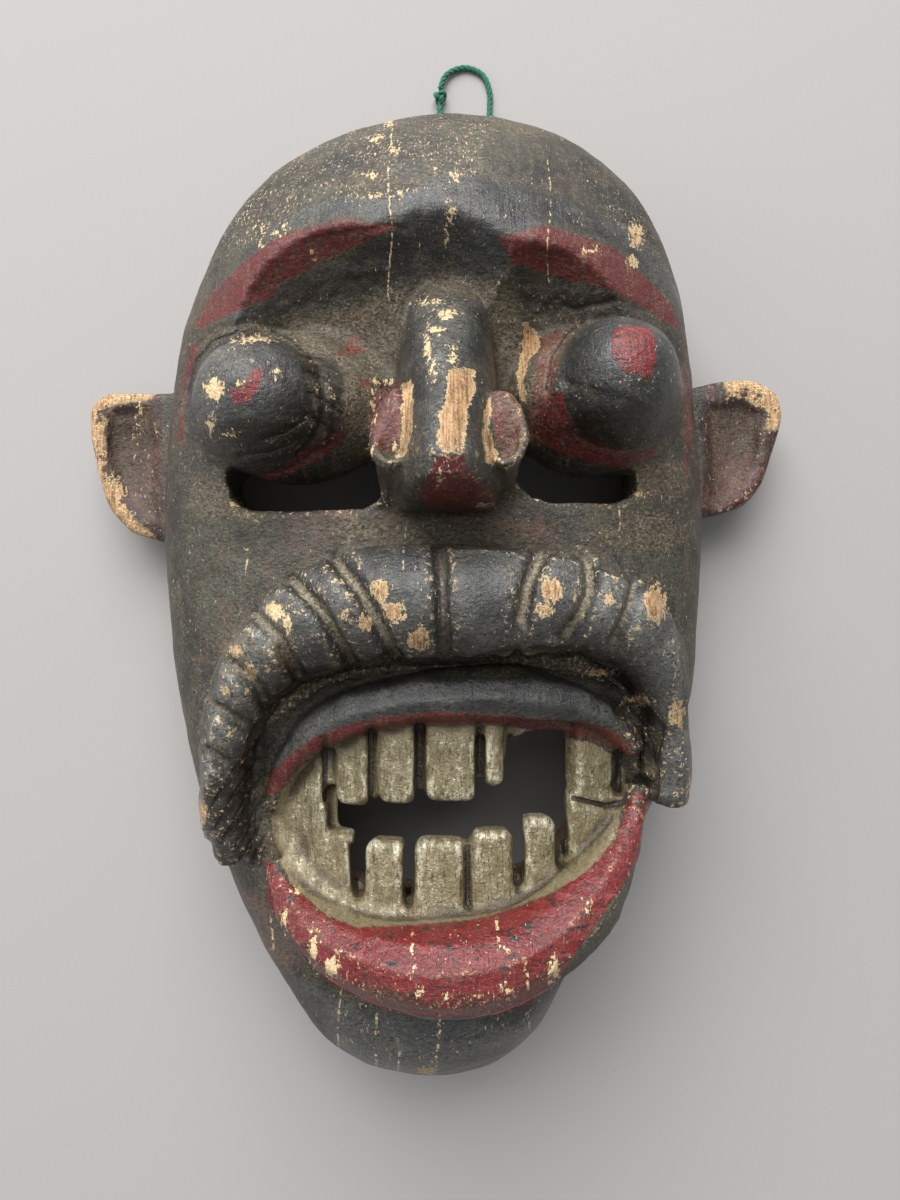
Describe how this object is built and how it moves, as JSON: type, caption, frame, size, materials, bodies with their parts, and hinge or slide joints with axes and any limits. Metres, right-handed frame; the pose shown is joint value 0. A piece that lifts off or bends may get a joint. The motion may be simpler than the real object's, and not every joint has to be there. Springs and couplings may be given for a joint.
{
  "type": "shaman mask",
  "caption": "Hollow carved wooden face mask with bulging eyes, notched moustache, open toothed mouth and a hanging loop of twine.",
  "frame": {"origin": "the middle of the mask's own bounding box, in the plane of its flat back rim", "axes": "+Z out of the face, +Y towards the crown, +X towards the right side of the face as one looks at it"},
  "size_m": [0.289, 0.4285, 0.149],
  "materials": {
    "painted_wood": "old oil paint, dusty and worn to the wood at the edges",
    "twine": "twisted cotton"
  },
  "bodies": {
    "root": {"carved_mask": "painted_wood", "hanging_twine": "twine", "twine_knot": "twine"}
  },
  "joints": []
}
